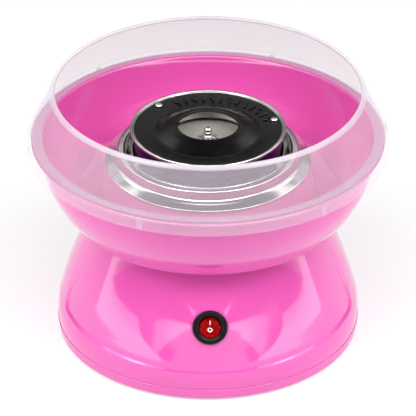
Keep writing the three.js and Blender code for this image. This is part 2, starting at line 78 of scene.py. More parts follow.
GUARD_FOOT_R = high("splash_guard", 0)
GUARD_TOP_Z = high("splash_guard", 2)
SKIRT_BOTTOM_Z = low("splash_guard", 2)
BOWL_RIM_R = high("bowl", 0)
BOWL_RIM_Z = high("bowl", 2)
BOWL_FLOOR_Z = low("bowl", 2)
RING_TOP_Z = high("heat_ring", 2)
RING_FOOT_Z = low("heat_ring", 2)
FLANGE_R = high("heat_ring", 0)
DECK_Z = high("base_shell", 2)
PARTING_Z = high("bottom_plate", 2)
BASE_R = high("bottom_plate", 0)
FURNACE_R = high("furnace_pan", 0)
FURNACE_FLOOR_Z = low("furnace_pan", 2)
HEAD_R = high("head_disc", 0)
HEAD_RIM_Z = high("head_disc", 2)
PAN_FOOT_R = high("head_pan", 0)
PAN_WALL_R = high("sugar_mesh", 0)
PAN_BOTTOM_Z = low("head_pan", 2)
PAN_TOP_Z = high("head_pan", 2)
MOUTH_Z = high("head_cover", 2)
COVER_R = high("head_cover", 0)


# -------------------- mesh helpers
def on_circle(radius, azimuth, z=0.0):
    """A point round the spin axis; azimuth in degrees from the front, positive towards +X."""
    angle = math.radians(azimuth)
    return Vector((radius * math.sin(angle), -radius * math.cos(angle), z))


def arc(r, z, radius, start, end, steps):
    """Points of an arc in a profile, from one angle to another in degrees."""
    angles = [math.radians(start + (end - start) * i / steps) for i in range(steps + 1)]
    return [(r + radius * math.cos(a), z + radius * math.sin(a)) for a in angles]


def span(start, end, step):
    """Even steps of about the given size from start up to, and without, end."""
    count = max(1, round((end - start) / step))
    return [start + (end - start) * i / count for i in range(count)]


def smooth_step(x):
    x = min(1.0, max(0.0, x))
    return x * x * (3 - 2 * x)


def curve_through(points, steps):
    """A smooth open line through [radius, height] points."""
    ends = [points[0], *points, points[-1]]
    line = []
    for i in range(1, len(ends) - 2):
        p0, p1, p2, p3 = (Vector(ends[i + k]) for k in (-1, 0, 1, 2))
        for k in range(steps):
            t = k / steps
            line.append(tuple(0.5 * (2 * p1 + (p2 - p0) * t + (2 * p0 - 5 * p1 + 4 * p2 - p3) * t * t
                                     + (3 * p1 - p0 - 3 * p2 + p3) * t ** 3)))
    line.append(tuple(points[-1]))
    return line


def rounded(points, radius):
    """A closed profile with its sharp corners rounded; corners on the axis stay."""
    result = []
    for i, point in enumerate(points):
        p = Vector(point)
        before = Vector(points[i - 1]) - p
        after = Vector(points[(i + 1) % len(points)]) - p
        if p.x < 1e-6 or before.length < 1e-6 or after.length < 1e-6:
            result.append(tuple(p))
            continue
        bend = math.degrees(math.pi - before.angle(after))
        if bend < CORNER_TURN:
            result.append(tuple(p))
            continue
        reach = min(radius * math.tan(math.radians(bend) / 2), 0.45 * before.length, 0.45 * after.length)
        start = p + before.normalized() * reach
        end = p + after.normalized() * reach
        for k in range(CORNER_STEPS + 1):
            t = k / CORNER_STEPS
            result.append(tuple(start * (1 - t) ** 2 + p * 2 * t * (1 - t) + end * t * t))
    return result


def in_scene(name, data):
    obj = bpy.data.objects.new(name, data)
    bpy.context.scene.collection.objects.link(obj)
    return obj


def discard(objects):
    """Removes working objects together with their meshes."""
    for obj in objects:
        mesh = obj.data
        bpy.data.objects.remove(obj)
        bpy.data.meshes.remove(mesh)


def smooth(mesh, sharp):
    mesh.polygons.foreach_set("use_smooth", [True] * len(mesh.polygons))
    mesh.set_sharp_from_angle(angle=math.radians(sharp))


def new_object(name, vertices, faces, material, sharp=SHARP):
    mesh = bpy.data.meshes.new(name)
    mesh.from_pydata([tuple(c * MM for c in v) for v in vertices], [], faces)
    mesh.validate()
    smooth(mesh, sharp)
    mesh.materials.append(material)
    return in_scene(name, mesh)


def prism_faces(count):
    """Faces of the solid between two loops of so many points; the lower loop comes first."""
    ends = [list(range(count))[::-1], list(range(count, 2 * count))]
    return ends + [[i, (i + 1) % count, count + (i + 1) % count, count + i] for i in range(count)]


def box_mesh(lowest, highest):
    (x0, y0, z0), (x1, y1, z1) = lowest, highest
    outline = [(x0, y0), (x1, y0), (x1, y1), (x0, y1)]
    return [(*p, z) for z in (z0, z1) for p in outline], prism_faces(4)


def revolve(profile, segments):
    """Vertices and faces of a closed profile turned round the Z axis; the profile runs anticlockwise."""
    vertices, rings = [], []
    for r, z in profile:
        if r < 1e-6:
            rings.append([len(vertices)] * segments)
            vertices.append((0.0, 0.0, z))
            continue
        rings.append(list(range(len(vertices), len(vertices) + segments)))
        for k in range(segments):
            angle = 2 * math.pi * k / segments
            vertices.append((r * math.cos(angle), r * math.sin(angle), z))
    faces = []
    for i, ring in enumerate(rings):
        above = rings[(i + 1) % len(rings)]
        if ring[0] == ring[1] and above[0] == above[1]:
            continue
        for k in range(segments):
            n = (k + 1) % segments
            corners = [ring[k], ring[n], above[n], above[k]]
            faces.append([c for j, c in enumerate(corners) if c != corners[j - 1]])
    return vertices, faces


def turned(name, profile, material, segments=FINE, sharp=SHARP):
    return new_object(name, *revolve(profile, segments), material, sharp)


def place(obj, offset, rotation=None):
    """Moves the mesh itself, so that the object stays at the origin."""
    move = Matrix.Translation(Vector(offset) * MM)
    if rotation is not None:
        move = move @ rotation.to_4x4()
    obj.data.transform(move)
    return obj


def to_frame(obj, matrix):
    """Puts a mesh made about its own axis into a frame given in millimetres."""
    obj.data.transform(Matrix.Scale(MM, 4) @ matrix @ Matrix.Scale(1 / MM, 4))
    return obj


def joined(name, parts):
    """One object from several closed meshes of one material."""
    whole = bmesh.new()
    for part in parts:
        whole.from_mesh(part.data)
    mesh = parts[0].data.copy()
    mesh.name = name
    whole.to_mesh(mesh)
    whole.free()
    discard(parts)
    return in_scene(name, mesh)


def cut(obj, tools, sharp=SHARP):
    """Cuts closed tool meshes out of a closed mesh."""
    for tool in tools:
        modifier = obj.modifiers.new("cut", "BOOLEAN")
        modifier.operation = "DIFFERENCE"
        modifier.solver = "MANIFOLD"
        modifier.object = tool
    graph = bpy.context.evaluated_depsgraph_get()
    mesh = bpy.data.meshes.new_from_object(obj.evaluated_get(graph))
    obj.modifiers.clear()
    obj.data = mesh
    smooth(mesh, sharp)
    discard(tools)
    return obj


def tube(name, points, radius, material, sides, closed=False):
    """A round wire along a line of points, as a mesh."""
    curve = bpy.data.curves.new(name, "CURVE")
    curve.dimensions = "3D"
    curve.bevel_depth = radius * MM
    curve.bevel_resolution = sides // 4
    curve.use_fill_caps = not closed
    spline = curve.splines.new("POLY")
    spline.points.add(len(points) - 1)
    for point, co in zip(spline.points, points):
        point.co = (*(Vector(co) * MM), 1.0)
    spline.use_cyclic_u = closed
    holder = in_scene(name, curve)
    graph = bpy.context.evaluated_depsgraph_get()
    mesh = bpy.data.meshes.new_from_object(holder.evaluated_get(graph))
    bpy.data.objects.remove(holder)
    mesh.materials.clear()
    mesh.materials.append(material)
    mesh.polygons.foreach_set("use_smooth", [True] * len(mesh.polygons))
    return in_scene(name, mesh)


def stands_for(obj, body, node_name):
    """Ties a piece to its body, in place of a CAD node, which it hides."""
    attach(obj, body)
    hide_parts(node_name)


def turned_piece(name, profile, body, slot, segments=FINE, at=(0, 0, 0), rotation=None):
    """A turned shape in place of the CAD node of that name."""
    piece = place(turned(f"{name}_fine", profile, MATERIALS[slot], segments), at, rotation)
    stands_for(piece, body, name)


# -------------------- material helpers
def new_material(name, color, roughness, metallic=0.0, **sockets):
    """A material with its Principled shader; extra sockets are given by name, with _ for a space."""
    material = bpy.data.materials.new(name)
    material.use_nodes = True
    shader = material.node_tree.nodes["Principled BSDF"]
    shader.inputs["Base Color"].default_value = (*color, 1.0)
    shader.inputs["Roughness"].default_value = roughness
    shader.inputs["Metallic"].default_value = metallic
    for socket, value in sockets.items():
        shader.inputs[socket.replace("_", " ")].default_value = value
    return material


def node(material, kind, **values):
    made = material.node_tree.nodes.new(kind)
    for key, value in values.items():
        if hasattr(made, key):
            setattr(made, key, value)
        else:
            made.inputs[key.replace("_", " ")].default_value = value
    return made


def link(material, source, target):
    material.node_tree.links.new(source, target)


def shader_of(material):
    return material.node_tree.nodes["Principled BSDF"]


def object_point(material):
    return node(material, "ShaderNodeTexCoord").outputs["Object"]


def axis_distance(material):
    """Distance from the spin axis, in metres."""
    flat = node(material, "ShaderNodeVectorMath", operation="MULTIPLY")
    flat.inputs[1].default_value = (1.0, 1.0, 0.0)
    link(material, object_point(material), flat.inputs[0])
    length = node(material, "ShaderNodeVectorMath", operation="LENGTH")
    link(material, flat.outputs[0], length.inputs[0])
    return length.outputs["Value"]


def height_of(material):
    """Height above the table, in metres."""
    split = node(material, "ShaderNodeSeparateXYZ")
    link(material, object_point(material), split.inputs[0])
    return split.outputs["Z"]


def combined(material, operation, *factors):
    """The factors taken together by one arithmetic operation, from the first on."""
    total = factors[0]
    for factor in factors[1:]:
        step = node(material, "ShaderNodeMath", operation=operation)
        link(material, total, step.inputs[0])
        link(material, factor, step.inputs[1])
        total = step.outputs[0]
    return total


def ring_distance(material):
    """Distance from the axis plus height: marks run round it on flat and upright faces alike."""
    return combined(material, "ADD", axis_distance(material), height_of(material))


def mottle(material, scale, detail=3.0, distortion=0.0):
    """Soft random variation, 0 to 1, of about 1/scale metres."""
    texture = node(material, "ShaderNodeTexNoise", Scale=scale, Detail=detail, Distortion=distortion)
    link(material, object_point(material), texture.inputs["Vector"])
    return texture.outputs["Fac"]


def spun_lines(material, scale=900.0):
    """Fine circles, as a lathe or a spinning tool leaves them."""
    texture = node(material, "ShaderNodeTexNoise", noise_dimensions="1D", Scale=scale, Detail=4.0)
    link(material, ring_distance(material), texture.inputs["W"])
    return texture.outputs["Fac"]


def remapped(material, factor, lowest, highest, start=0.0, end=1.0):
    """Maps start..end of a factor evenly to lowest..highest, which also hold outside it."""
    remap = node(material, "ShaderNodeMapRange", From_Min=start, From_Max=end,
                 To_Min=lowest, To_Max=highest)
    link(material, factor, remap.inputs["Value"])
    return remap.outputs["Result"]


def spread(material, factor, lowest, highest, socket="Roughness"):
    """Maps a 0..1 factor to a range on one of the shader's sockets."""
    link(material, remapped(material, factor, lowest, highest), shader_of(material).inputs[socket])


def tint(material, factor, dark, light):
    """Colours the surface between two near colours."""
    ramp = node(material, "ShaderNodeValToRGB")
    ramp.color_ramp.elements[0].color = (*dark, 1.0)
    ramp.color_ramp.elements[0].position = 0.3
    ramp.color_ramp.elements[1].color = (*light, 1.0)
    ramp.color_ramp.elements[1].position = 0.7
    link(material, factor, ramp.inputs["Fac"])
    link(material, ramp.outputs["Color"], shader_of(material).inputs["Base Color"])


def bumps(material, heights):
    """Chains bump layers: (height, strength, depth in metres)."""
    normal = None
    for height, strength, depth in heights:
        bump = node(material, "ShaderNodeBump", Strength=strength, Distance=depth)
        link(material, height, bump.inputs["Height"])
        if normal is not None:
            link(material, normal, bump.inputs["Normal"])
        normal = bump.outputs["Normal"]
    link(material, normal, shader_of(material).inputs["Normal"])


# -------------------- materials
COLOR_MIX_SOCKETS = (0, 6, 7)    # a colour Mix node's factor and its two colours


def pink_plastic():
    """Glossy moulded ABS: faint orange peel and flow variation."""
    made = new_material("pink_plastic", (0.65, 0.084, 0.362), 0.14, Coat_Weight=0.5, Coat_Roughness=0.04)
    flow = mottle(made, 14.0, 2.0)
    tint(made, flow, (0.64, 0.084, 0.362), (0.66, 0.090, 0.374))
    spread(made, mottle(made, 60.0), 0.07, 0.11)
    bumps(made, [(mottle(made, 55.0, 2.0), 0.02, 0.0006), (mottle(made, 1400.0, 2.0), 0.03, 0.00008)])
    return made


def milky_plastic():
    """Thin translucent polypropylene: denser in the rolled lip and the shelf, thinner in the skirt."""
    made = new_material("milky_plastic", (0.60, 0.54, 0.63), 0.2, Alpha=0.24, Coat_Weight=0.1,
                        Coat_Roughness=0.08, Specular_IOR_Level=0.35)
    cloud = mottle(made, 18.0, 3.0, 0.4)
    tint(made, cloud, (0.62, 0.55, 0.62), (0.66, 0.59, 0.66))
    z = height_of(made)
    lip = remapped(made, z, 0.0, 0.4, (GUARD_TOP_Z - 3.8) * MM, (GUARD_TOP_Z - 2.4) * MM)
    shelf = remapped(made, z, 0.0, 0.04, (BOWL_RIM_Z + 5.3) * MM, (BOWL_RIM_Z + 2.8) * MM)
    skirt = remapped(made, z, 0.0, -0.05, BOWL_RIM_Z * MM, (BOWL_RIM_Z - 1.8) * MM)
    film = remapped(made, cloud, 0.175, 0.215)
    link(made, combined(made, "ADD", lip, shelf, film, skirt), shader_of(made).inputs["Alpha"])
    bumps(made, [(mottle(made, 45.0, 2.0), 0.06, 0.0008), (mottle(made, 900.0, 2.0), 0.04, 0.0001)])
    return made


def worked_steel(name, color, roughness, marks):
    """Spun stainless steel: fine circles, a slightly uneven tone, small stains."""
    made = new_material(name, color, roughness, 1.0)
    dull = tuple(0.86 * c for c in color)
    tint(made, mottle(made, 120.0, 4.0), dull, color)
    bumps(made, [(spun_lines(made), marks, 0.00004), (mottle(made, 38.0, 2.0), 0.12, 0.0006)])
    return made


def polished_steel():
    """Bright outside; the head disc's funnel, nearest the axis, is dulled by sugar and heat."""
    made = worked_steel("polished_steel", (0.80, 0.79, 0.765), 0.06, 0.25)
    distance = axis_distance(made)
    past_hub = remapped(made, distance, 0.0, 1.0, 12.0 * MM, 16.0 * MM)
    inside_rim = remapped(made, distance, 0.0, 1.0, 52.0 * MM, 48.0 * MM)
    funnel = combined(made, "MULTIPLY", past_hub, inside_rim)
    spread(made, funnel, 1.0, 0.3, "Metallic")
    polish = remapped(made, spun_lines(made), 0.06, 0.2)
    dulled = remapped(made, funnel, 0.0, 0.4)
    link(made, combined(made, "ADD", dulled, polish), shader_of(made).inputs["Roughness"])
    return made


def satin_steel():
    """Blasted steel, which scatters light; the spinning pan's outer wall is polished and painted dark
    blue-lilac: a painted dark reflection.
    """
    made = worked_steel("satin_steel", (0.68, 0.64, 0.575), 0.30, 0.4)
    wall = node(made, "ShaderNodeMath", operation="GREATER_THAN")
    wall.inputs[1].default_value = (PAN_WALL_R - 0.5) * MM
    link(made, axis_distance(made), wall.inputs[0])
    spread(made, wall.outputs[0], 0.55, 1.0, "Metallic")
    spread(made, wall.outputs[0], 0.4, 0.12)
    plain = shader_of(made).inputs["Base Color"].links[0].from_socket
    # painted dark reflection: the outer wall's dark blue-lilac colour, mixed in over the plain steel colour
    painted_dark_reflection = node(made, "ShaderNodeMix", data_type="RGBA")
    factor, first, second = (painted_dark_reflection.inputs[i] for i in COLOR_MIX_SOCKETS)
    second.default_value = (0.06, 0.05, 0.115, 1.0)
    link(made, wall.outputs[0], factor)
    link(made, plain, first)
    link(made, painted_dark_reflection.outputs[2], shader_of(made).inputs["Base Color"])
    return made


def zinc_steel():
    """Zinc-plated sheet: spangled grey with fine scratches."""
    made = new_material("zinc_steel", (0.62, 0.63, 0.65), 0.35, 1.0)
    spangle = node(made, "ShaderNodeTexVoronoi", Scale=260.0)
    link(made, object_point(made), spangle.inputs["Vector"])
    tint(made, spangle.outputs["Distance"], (0.80, 0.80, 0.81), (0.94, 0.94, 0.95))
    spread(made, mottle(made, 300.0), 0.28, 0.45)
    bumps(made, [(mottle(made, 900.0), 0.15, 0.00006)])
    return made


def black_bakelite():
    """Heat-resistant phenolic moulding: satin black with a warm bloom."""
    made = new_material("black_bakelite", (0.003, 0.003, 0.003), 0.26, Specular_IOR_Level=0.36)
    bloom = mottle(made, 42.0, 4.0, 0.6)
    tint(made, bloom, (0.0012, 0.0012, 0.0012), (0.004, 0.0034, 0.0034))
    spread(made, bloom, 0.22, 0.31)
    bumps(made, [(mottle(made, 700.0, 3.0), 0.18, 0.00012), (spun_lines(made, 500.0), 0.05, 0.00006)])
    return made


def black_plastic():
    """Fine-grained black polyamide."""
    made = new_material("black_plastic", (0.010, 0.005, 0.005), 0.3, Specular_IOR_Level=0.12)
    grain = mottle(made, 1600.0, 2.0)
    tint(made, mottle(made, 60.0), (0.005, 0.004, 0.004), (0.011, 0.008, 0.008))
    spread(made, grain, 0.24, 0.38)
    bumps(made, [(grain, 0.2, 0.00006)])
    return made


def red_lens():
    """Translucent red polycarbonate with the lamp's prisms showing through."""
    made = new_material("red_lens", (0.3, 0.001, 0.002), 0.12, Specular_IOR_Level=0.05)
    prisms = node(made, "ShaderNodeTexVoronoi", Scale=520.0)
    link(made, object_point(made), prisms.inputs["Vector"])
    tint(made, prisms.outputs["Distance"], (0.13, 0.0003, 0.0005), (0.36, 0.0012, 0.0016))
    spread(made, mottle(made, 500.0), 0.08, 0.2)
    bumps(made, [(prisms.outputs["Distance"], 0.12, 0.0001)])
    return made


def white_print():
    """Slightly uneven printing ink."""
    made = new_material("white_print", (0.8, 0.78, 0.76), 0.45)
    tint(made, mottle(made, 900.0), (0.70, 0.67, 0.66), (0.86, 0.84, 0.82))
    bumps(made, [(mottle(made, 2500.0), 0.15, 0.00003)])
    return made


def rubber():
    """Dull black with a coarse grain."""
    made = new_material("rubber", (0.03, 0.03, 0.03), 0.75)
    grain = mottle(made, 1200.0, 3.0)
    tint(made, mottle(made, 90.0), (0.022, 0.022, 0.022), (0.045, 0.044, 0.043))
    spread(made, grain, 0.65, 0.9)
    bumps(made, [(grain, 0.3, 0.0001)])
    return made


def ceramic():
    """Unglazed, warm white and speckled."""
    made = new_material("ceramic", (0.80, 0.76, 0.66), 0.6)
    speck = mottle(made, 420.0, 5.0)
    tint(made, speck, (0.68, 0.63, 0.54), (0.84, 0.80, 0.71))
    spread(made, speck, 0.5, 0.75)
    bumps(made, [(speck, 0.25, 0.00015)])
    return made


def copper():
    """Enamelled wire and bare contacts, partly tarnished."""
    made = new_material("copper", (0.80, 0.42, 0.24), 0.3, 1.0)
    tint(made, mottle(made, 150.0, 4.0), (0.62, 0.30, 0.17), (0.84, 0.46, 0.27))
    spread(made, mottle(made, 500.0), 0.22, 0.42)
    bumps(made, [(mottle(made, 900.0), 0.12, 0.00005)])
    return made


def board():
    """Green circuit board with the glass weave showing."""
    made = new_material("board", (0.05, 0.20, 0.09), 0.4)
    weave = node(made, "ShaderNodeTexBrick", Scale=900.0)
    link(made, object_point(made), weave.inputs["Vector"])
    tint(made, weave.outputs["Fac"], (0.045, 0.19, 0.085), (0.06, 0.23, 0.11))
    bumps(made, [(weave.outputs["Fac"], 0.15, 0.00004)])
    return made


def heater_alloy():
    """Nickel alloy after some heating: brown and blue tints."""
    made = new_material("heater_alloy", (0.30, 0.26, 0.23), 0.45, 1.0)
    tint(made, mottle(made, 160.0, 4.0, 0.5), (0.20, 0.18, 0.19), (0.42, 0.34, 0.27))
    spread(made, mottle(made, 600.0), 0.35, 0.6)
    bumps(made, [(mottle(made, 1500.0), 0.2, 0.00005)])
    return made


MATERIALS = {make.__name__: make() for make in (
    pink_plastic, milky_plastic, polished_steel, satin_steel, zinc_steel, black_bakelite, black_plastic,
    red_lens, rubber, ceramic, copper, board, heater_alloy,
)}
PRINT = white_print()


def dress_cad_nodes():
    """Every carried-over CAD node takes the material of its slot."""
    slots = {part["node"]: part["material_slot"] for part in frame["record"]["subparts"]}
    for name, obj in frame["nodes"].items():
        obj.data.materials.clear()
        obj.data.materials.append(MATERIALS[slots[name]])


# -------------------- base shell
SHELL_WALL = 3.0
BASE_OUTLINE = curve_through([
    (BASE_R, PARTING_Z + 0.45), (BASE_R + 0.2, 20), (126.3, 30), (123.6, 40), (120.7, 50), (117.4, 60),
    (113.8, 70), (110, 80), (106.2, 90), (102.6, 100), (99.8, DECK_Z - 4),
], 8)
DECK_BORE_R = 15.0
DECK_EDGE_R = 3.0
PANEL_HALF_DEG = 76.0            # the inset panel runs this far to both sides of the front
PANEL_DEPTH = 1.8
PANEL_CORNER = 9.0
PANEL_EDGE = 2.6                 # width of the panel's sloping edge
PANEL_BOTTOM_Z = 25.5            # lower edge at the front
PANEL_RISE = 6.5                 # how much higher that edge is at PANEL_RISE_DEG
PANEL_RISE_DEG = 70.0
PANEL_FRONT_SHARE = 0.25         # part of the depth left in the middle of the front
OVAL_AZIMUTH = 0.6
OVAL_Z = 63.2
OVAL_HALF_DEG = 31.0
OVAL_HALF_HEIGHT = 34.8
SWITCH_Z = 65.3
SWITCH_TILT = 15.0
SWITCH_STAND = 3.0               # height of the switch's seat above the plain base surface
SWITCH_HOLE_R = 11.2
BEZEL_R = 14.6
SEAT_R = BEZEL_R + 1.0
SEAT_DEPTH = -0.3
SEAT_SHARE = 0.28                # part of the oval that the flat seat takes up
GLAND_Z = 34.0
FACING_BACK = Euler((-math.pi / 2, 0, 0)).to_matrix()
CORNERS = (45, 135, 225, 315)    # azimuths of the feet and the bottom screws
FOOT_CIRCLE_R = 92.0
SCREW_CIRCLE_R = 108.0


def outline_radius(z):
    """Outer radius of the plain base at a height."""
    for (r0, z0), (r1, z1) in zip(BASE_OUTLINE, BASE_OUTLINE[1:]):
        if z <= z1:
            return r0 + (r1 - r0) * (z - z0) / (z1 - z0)
    return BASE_OUTLINE[-1][0]


def switch_matrix():
    """The switch's own frame in millimetres: +Z out of the front, +Y up along it."""
    turn = Euler((math.radians(90 - SWITCH_TILT), 0, 0)).to_matrix().to_4x4()
    centre = Vector((0, -outline_radius(SWITCH_Z), SWITCH_Z))
    return Matrix.Translation(centre) @ turn @ Matrix.Translation((0, 0, SWITCH_STAND))


SWITCH_FRAME = switch_matrix()


def panel_depth(azimuth, z):
    """How deep the front panel is let in at a place on the base."""
    side = (PANEL_HALF_DEG - abs(azimuth)) * math.radians(outline_radius(z))
    bottom = z - (PANEL_BOTTOM_Z + PANEL_RISE * (azimuth / PANEL_RISE_DEG) ** 2)
    qx, qy = PANEL_CORNER - side, PANEL_CORNER - bottom
    inside = PANEL_CORNER - math.hypot(max(qx, 0), max(qy, 0)) - min(max(qx, qy), 0)
    fade = PANEL_FRONT_SHARE + (1 - PANEL_FRONT_SHARE) * smooth_step((abs(azimuth) - 8.0) / 30.0)
    return PANEL_DEPTH * fade * smooth_step(inside / PANEL_EDGE)


def panel_point(azimuth, z):
    return on_circle(outline_radius(z) - panel_depth(azimuth, z), azimuth, z)


def base_point(azimuth, z):
    """A point of the outer surface: plain body, inset panel, and the shallow cone with the switch."""
    u = (azimuth - OVAL_AZIMUTH) / OVAL_HALF_DEG
    w = (z - OVAL_Z) / OVAL_HALF_HEIGHT
    reach = math.hypot(u, w)
    if reach >= 1.0:
        return panel_point(azimuth, z)
    around = math.atan2(w, u)
    edge = panel_point(OVAL_AZIMUTH + OVAL_HALF_DEG * math.cos(around),
                       OVAL_Z + OVAL_HALF_HEIGHT * math.sin(around))
    seat = SWITCH_FRAME @ Vector((SEAT_R * math.cos(around), SEAT_R * math.sin(around), SEAT_DEPTH))
    centre = SWITCH_FRAME @ Vector((0, 0, SEAT_DEPTH))
    if reach <= SEAT_SHARE:
        return centre.lerp(seat, reach / SEAT_SHARE)
    return seat.lerp(edge, (reach - SEAT_SHARE) / (1 - SEAT_SHARE))


def shell_columns():
    """Azimuths of the mesh's columns: close over the panel, and closest at its side edges."""
    inner, outer, side = PANEL_HALF_DEG - 3, PANEL_HALF_DEG + 3, PANEL_HALF_DEG + 8
    return [*span(-side, -outer, 1), *span(-outer, -inner, 0.3), *span(-inner, inner, 0.45),
            *span(inner, outer, 0.3), *span(outer, side, 1), *span(side, 360 - side, 2.4)]


def shell_rows():
    """The heights of the outer face, then the plain points over the deck and down the inside."""
    bottom_z, top_z = BASE_OUTLINE[0][1], BASE_OUTLINE[-1][1]
    heights = [*span(bottom_z, 24, 1.2), *span(24, 40, 0.5), *span(40, 100, 0.8),
               *span(100, top_z, 1.5), top_z]
    inner_top = BASE_OUTLINE[-1][0] - SHELL_WALL
    deck = [*arc(96.6, DECK_Z - DECK_EDGE_R, DECK_EDGE_R, 0, 90, 6), (DECK_BORE_R + 0.4, DECK_Z),
            (DECK_BORE_R, DECK_Z - 0.4), (DECK_BORE_R, DECK_Z - SHELL_WALL),
            (inner_top - 2, DECK_Z - SHELL_WALL), (inner_top, DECK_Z - SHELL_WALL - 2)]
    inside = [(outline_radius(z) - SHELL_WALL, z) for z in (*range(100, 10, -10), bottom_z)]
    return heights, [*deck, *inside]


def outer_point(azimuth, z):
    """A point of the outer face; azimuths past the back are counted from the front again."""
    signed = azimuth if azimuth <= 180 else azimuth - 360
    if abs(signed) < PANEL_HALF_DEG + 5:
        return base_point(signed, z)
    return on_circle(outline_radius(z), signed, z)


def inner_point(azimuth, r, z):
    """The inside stands back behind the oval, where the cone comes inwards."""
    inset = 0.0
    pocket = OVAL_HALF_DEG + 4
    if abs(azimuth) < pocket and 30 < z < 98:
        inset = 9.0 * (1 - (azimuth / pocket) ** 2) + 3.0
    return on_circle(r - inset, azimuth, z)


def plug(radius, bottom, top):
    """A round cutter about the Z axis."""
    profile = [(0, bottom), (radius, bottom), (radius, top), (0, top)]
    return turned("plug", profile, MATERIALS["pink_plastic"], SMALL)


def base_shell():
    azimuths = shell_columns()
    heights, plain = shell_rows()
    vertices = [outer_point(azimuth, z) for z in heights for azimuth in azimuths]
    vertices += [inner_point(azimuth, r, z) for r, z in plain for azimuth in azimuths]
    columns, rows = len(azimuths), len(heights) + len(plain)
    faces = []
    for i in range(rows):
        below, above = i * columns, ((i + 1) % rows) * columns
        for k in range(columns):
            n = (k + 1) % columns
            faces.append([below + k, below + n, above + n, above + k])
    shell = new_object("base_shell_fine", vertices, faces, MATERIALS["pink_plastic"], SOFT_SHARP)
    switch_hole = to_frame(plug(SWITCH_HOLE_R, -30, 12), SWITCH_FRAME)
    gland_hole = place(plug(6.4, -12, 12), (0, outline_radius(GLAND_Z), GLAND_Z), FACING_BACK)
    stands_for(cut(shell, [switch_hole, gland_hole], SOFT_SHARP), "base", "base_shell")


def vent_tool(x, reach, z):
    """A round-ended vent slot to cut out of the bottom plate."""
    half = 1.5
    outline = []
    for centre, start in ((reach - half, 0), (half - reach, 180)):
        for i in range(9):
            angle = math.radians(start + 22.5 * i)
            outline.append((x + half * math.cos(angle), centre + half * math.sin(angle)))
    vertices = [(*p, level) for level in (z - 3, z + 8) for p in outline]
    return new_object("vent_tool", vertices, prism_faces(len(outline)), MATERIALS["pink_plastic"])


def bottom_plate():
    """Shallow dish with a rounded foot and a fine bead at the parting line."""
    foot_z = low("bottom_plate", 2)
    plate = turned("bottom_plate_fine", rounded([
        (0, foot_z), (BASE_R - 4, foot_z), *arc(BASE_R - 2.4, foot_z + 2.4, 2.4, -80, 0, 6),
        (BASE_R, PARTING_Z - 1.4), *arc(BASE_R - 0.1, PARTING_Z - 0.5, 0.6, -30, 80, 5),
        (BASE_R - 1.2, PARTING_Z + 0.3), (BASE_R - SHELL_WALL, PARTING_Z + 0.3),
        (BASE_R - SHELL_WALL - 1, 4.2), (0, 4.2),
    ], 0.3), MATERIALS["pink_plastic"])
    vents = [vent_tool(8 * i, 22 - 3 * abs(i), foot_z) for i in range(-2, 3)]
    screw_holes = [place(plug(2.2, 0, 8), on_circle(SCREW_CIRCLE_R, azimuth)) for azimuth in CORNERS]
    stands_for(cut(plate, [*vents, *screw_holes]), "base", "bottom_plate")


def feet():
    """Rubber suction cups."""
    profile = rounded([(0, 0.7), (5, 0.5), (8, 0.1), (10.6, 0), (11, 0.4), (9.4, 0.8), (8, 1.05),
                       (0, 1.05)], 0.3)
    for i, azimuth in enumerate(CORNERS):
        turned_piece(f"foot_{i + 1}", profile, "base", "rubber", SMALL, on_circle(FOOT_CIRCLE_R, azimuth))


def cord_gland():
    """Black collar with an open bore; its barrel goes 9 mm into the shell."""
    barrel = 9.0
    profile = rounded([(2.6, -barrel), (5.6, -barrel), (5.6, 1.1), (8.8, 1.1), (8.8, 2), (7.6, 3.2),
                       (3.2, 3.2), (2.6, 2.6)], 0.4)
    seat = (0, low("cord_gland", 1) + barrel, GLAND_Z)
    turned_piece("cord_gland", profile, "base", "black_plastic", SMALL, seat, FACING_BACK)


# -------------------- switch
ROCKER_R = 8.8
ROCKER_THROW = 18.0
ROCKER_EDGE_R = ROCKER_R - 0.05  # a little play in the bezel
PIVOT_DEPTH = -1.0
BARREL_R = 10.8
BARREL_DEPTH = -19.0
ROCKER_FRAME = (SWITCH_FRAME @ Matrix.Translation((0, 0, PIVOT_DEPTH))
                @ Matrix.Rotation(math.radians(ROCKER_THROW / 2), 4, "X"))


def switch_body():
    """Round panel switch: broad domed bezel, narrow inner lip, a barrel and three tabs behind."""
    black = MATERIALS["black_plastic"]
    parts = [turned("barrel", rounded([
        (0, BARREL_DEPTH), (BARREL_R, BARREL_DEPTH), (BARREL_R, 0.05), (BEZEL_R, 0.05), (BEZEL_R, 0.7),
        *arc(BEZEL_R - 2.0, 0.7, 1.9, 12, 90, 6), (ROCKER_R + 2.2, 2.4), (ROCKER_R + 1.2, 1.7),
        (ROCKER_R + 0.5, 1.2), (ROCKER_R + 0.5, -8), (0, -8),
    ], 0.35), black, MEDIUM)]
    for x in (-6, 0, 6):
        tab = box_mesh((x - 0.4, -2.4, BARREL_DEPTH - 8), (x + 0.4, 2.4, BARREL_DEPTH + 0.4))
        parts.append(new_object("tab", *tab, black))
    body = to_frame(joined("switch_body_fine", parts), SWITCH_FRAME)
    stands_for(body, "base", "switch_body")


def rocker_height(x, y):
    """Top of the rocker: two faces that meet in a soft valley, with a rounded outer edge."""
    rise = math.tan(math.radians(ROCKER_THROW / 2))
    valley = math.sqrt(y * y + 0.5) * rise
    edge = max(0.0, math.hypot(x, y) - (ROCKER_R - 1.0))
    return 2.2 + valley - 0.55 * edge * edge


